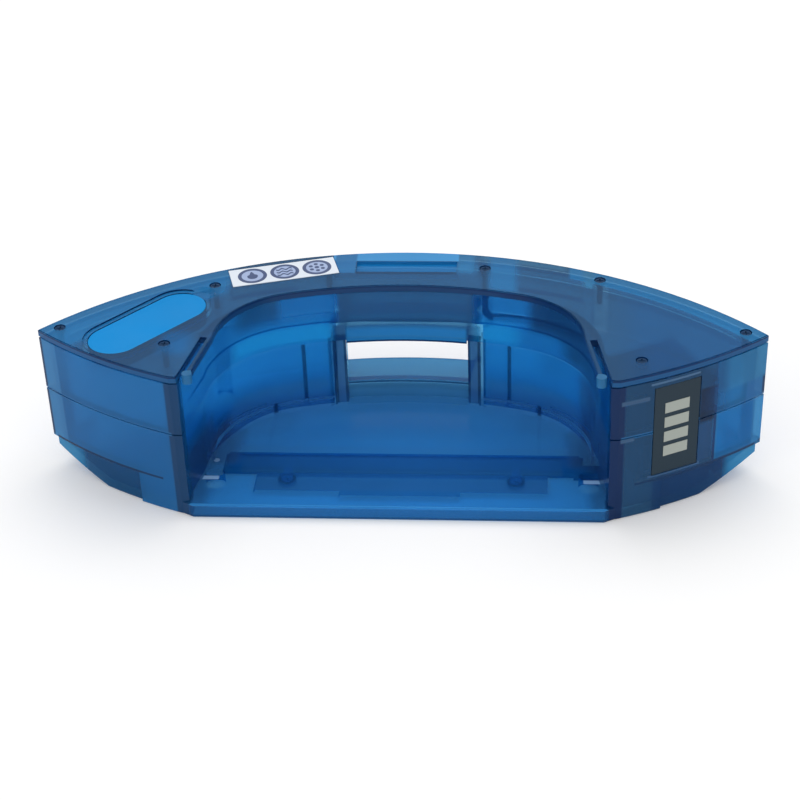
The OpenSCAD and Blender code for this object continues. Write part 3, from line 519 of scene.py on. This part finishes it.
# The label lies on the cover with its long side along the rear arc. Its three marks are plain shapes.
LABEL_ANGLE = math.radians(106.3)
LABEL_RADIUS = 156.4
MARK_OUTER = 5.2
MARK_INNER = 3.9
MARK_PLACES = (11.3, -0.4, -12.1)
MARK_T = 0.06


def label_place(along):
    return (Matrix.Translation(ROBOT) @ Matrix.Rotation(LABEL_ANGLE, 4, "Z")
            @ Matrix.Translation(Vector((LABEL_RADIUS, along, 0)) * MM) @ Matrix.Translation((0, 0, TANK_H)))


def drop_points():
    """A drop whose tip points towards the rear."""
    points = []
    for i in range(28):
        a = 2 * math.pi * i / 28
        reach = 1.9 * (1 + 0.75 * max(0.0, math.cos(a)) ** 6)
        points.append((reach * math.cos(a) - 0.4, 1.9 * math.sin(a) * (0.65 if math.cos(a) > 0.6 else 1.0)))
    return points


def wave_points(offset):
    """A wavy band across the mark."""
    steps = 14
    half = 0.42
    line = [(-2.9 + 5.8 * i / steps, offset + 0.5 * math.sin(i / steps * 4 * math.pi)) for i in range(steps + 1)]
    upper = [(y + half, x) for x, y in line]
    lower = [(y - half, x) for x, y in reversed(line)]
    return upper + lower


def build_label():
    ink = plastic("label_ink", (54, 74, 118), rough=0.5, vary=0.12)
    wash = plastic("label_wash", (160, 178, 214), rough=0.6, vary=0.04)
    for number, along in enumerate(MARK_PLACES, 1):
        place = label_place(along)
        piece("label_wash_%d" % number,
              lambda b: raise_outline(b, circle_points(MARK_INNER + 0.1), 0.0, MARK_T * 0.5), wash, place)
        piece("label_ring_%d" % number,
              lambda b: ring_plate(b, MARK_OUTER, MARK_INNER, 0.0, MARK_T), ink, place)

    def drop(b):
        raise_outline(b, drop_points(), 0.0, MARK_T)

    def waves(b):
        for offset in (-1.9, 0.0, 1.9):
            raise_outline(b, wave_points(offset), 0.0, MARK_T)

    def dots(b):
        for i in range(6):
            a = math.pi * i / 3
            raise_outline(b, circle_points(0.75, 20, (2.3 * math.cos(a), 2.3 * math.sin(a))), 0.0, MARK_T)
        raise_outline(b, circle_points(0.85, 20), 0.0, MARK_T)

    for name, build, along in zip(("drop", "waves", "dots"), (drop, waves, dots), MARK_PLACES):
        piece("label_%s" % name, build, ink, label_place(along))


# ---------------------------------------------------------------- studio

def build_studio():
    mesh = bpy.data.meshes.new("floor")
    b = bmesh.new()
    bmesh.ops.create_grid(b, x_segments=8, y_segments=8, size=3.0)
    b.to_mesh(mesh)
    b.free()
    floor = bpy.data.objects.new("floor", mesh)
    floor.location = (0, 0, -0.0003)
    bpy.context.scene.collection.objects.link(floor)
    n = Nodes("floor_white")
    p = n.add("ShaderNodeBsdfPrincipled")
    n.link(n.ramp(n.noise(3.0), [(0.3, (0.9, 0.9, 0.9)), (0.7, (0.93, 0.93, 0.93))]), p.inputs["Base Color"])
    p.inputs["Roughness"].default_value = 0.9
    p.inputs["Specular IOR Level"].default_value = 0.1
    # the camera sees the floor a little whiter, so that it runs into the white behind it
    p.inputs["Emission Color"].default_value = (1, 1, 1, 1)
    seen = n.add("ShaderNodeLightPath")
    n.link(n.math("MULTIPLY", seen.outputs["Is Camera Ray"], 0.12), p.inputs["Emission Strength"])
    n.link(p.outputs["BSDF"], n.out.inputs["Surface"])
    floor.data.materials.append(n.material)

    world = bpy.data.worlds.new("studio")
    bpy.context.scene.world = world
    world.use_nodes = True
    tree = world.node_tree
    tree.nodes.clear()
    out = tree.nodes.new("ShaderNodeOutputWorld")
    light = tree.nodes.new("ShaderNodeBackground")
    light.inputs["Color"].default_value = (1, 1, 1, 1)
    light.inputs["Strength"].default_value = 0.75
    seen = tree.nodes.new("ShaderNodeBackground")
    seen.inputs["Color"].default_value = (1, 1, 1, 1)
    seen.inputs["Strength"].default_value = 1.0
    path = tree.nodes.new("ShaderNodeLightPath")
    some = tree.nodes.new("ShaderNodeMath")
    some.operation = "ADD"
    tree.links.new(path.outputs["Is Camera Ray"], some.inputs[0])
    tree.links.new(path.outputs["Is Glossy Ray"], some.inputs[1])
    every = tree.nodes.new("ShaderNodeMath")
    every.operation = "ADD"
    every.use_clamp = True
    tree.links.new(some.outputs[0], every.inputs[0])
    tree.links.new(path.outputs["Is Transmission Ray"], every.inputs[1])
    mix = tree.nodes.new("ShaderNodeMixShader")
    tree.links.new(every.outputs[0], mix.inputs["Fac"])
    tree.links.new(light.outputs["Background"], mix.inputs[1])
    tree.links.new(seen.outputs["Background"], mix.inputs[2])
    tree.links.new(mix.outputs["Shader"], out.inputs["Surface"])

    def lamp(name, place, target, size, power):
        data = bpy.data.lights.new(name, "AREA")
        data.shape = "RECTANGLE"
        data.size, data.size_y = size
        data.energy = power
        ob = bpy.data.objects.new(name, data)
        ob.location = place
        ob.rotation_euler = (Vector(target) - Vector(place)).to_track_quat("-Z", "Y").to_euler()
        bpy.context.scene.collection.objects.link(ob)

    lamp("top_softbox", (0.1, 0.35, 1.2), (0, 0, 0), (1.2, 0.9), 5)
    lamp("left_softbox", (-1.1, -0.7, 0.7), (0, 0, 0.03), (0.8, 0.8), 1.5)


# ---------------------------------------------------------------- main

bpy.context.scene.view_settings.view_transform = "Standard"
place_camera()
dress_cad()
build_label()
build_studio()

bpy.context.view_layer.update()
